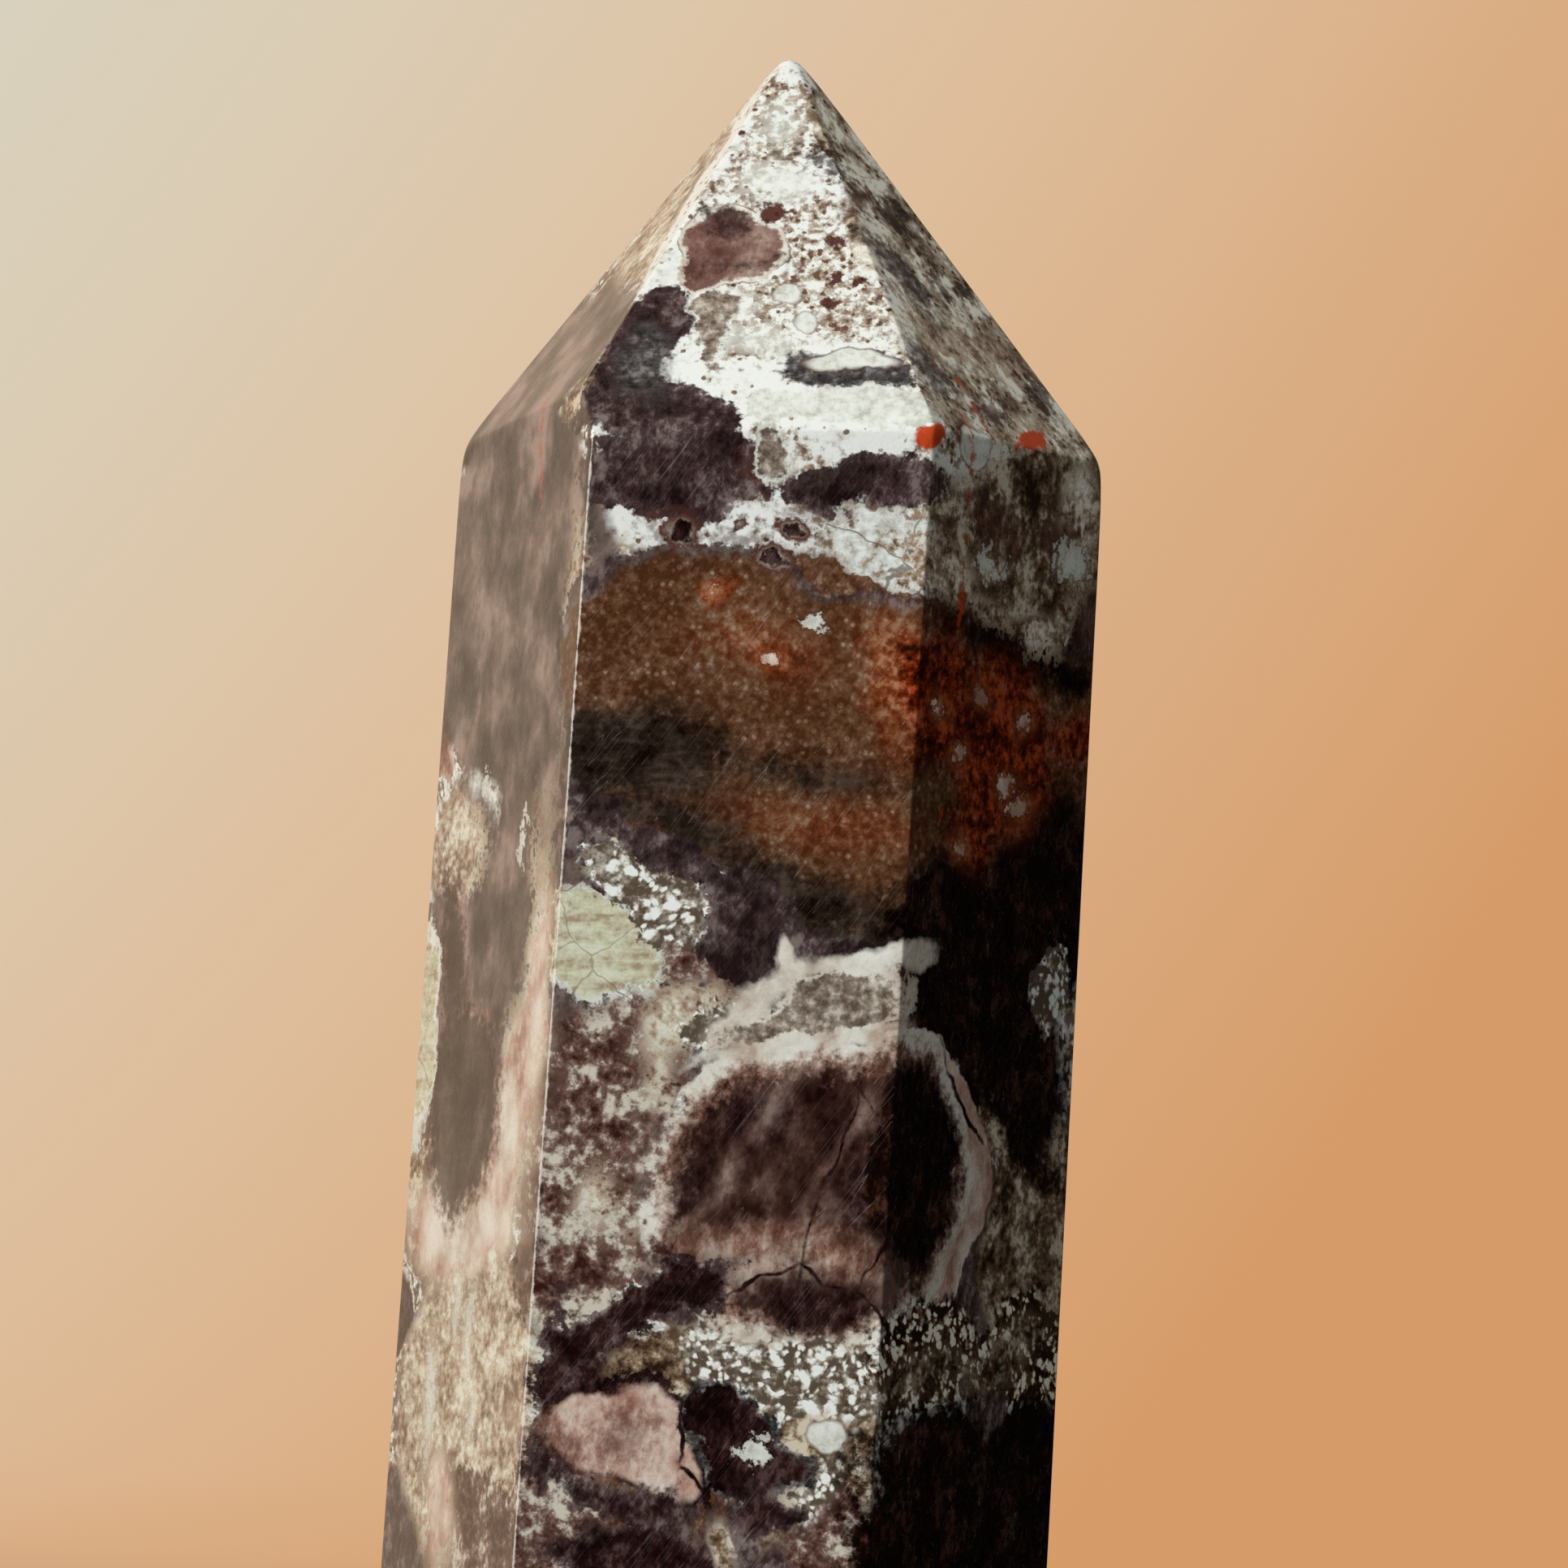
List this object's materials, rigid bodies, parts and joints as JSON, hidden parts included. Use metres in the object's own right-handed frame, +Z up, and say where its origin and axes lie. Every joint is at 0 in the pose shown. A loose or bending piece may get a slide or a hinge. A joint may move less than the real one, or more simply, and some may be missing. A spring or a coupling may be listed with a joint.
{
  "type": "polished brecciated jasper tower",
  "caption": "Six-sided stone tower with a faceted point, cut from mottled maroon, rust and cream brecciated jasper and polished all over.",
  "frame": {"origin": "middle of the flat base the tower stands on", "axes": "+Z up from the base to the point; the front long face looks along -Y; +X to its right"},
  "size_m": [0.0316, 0.0272, 0.095],
  "materials": {
    "brecciated_jasper": "polished, with angular maroon, rust-brown and near-black fragments in a cream and olive speckled matrix"
  },
  "bodies": {
    "root": {"jasper_tower": "brecciated_jasper"}
  },
  "joints": []
}
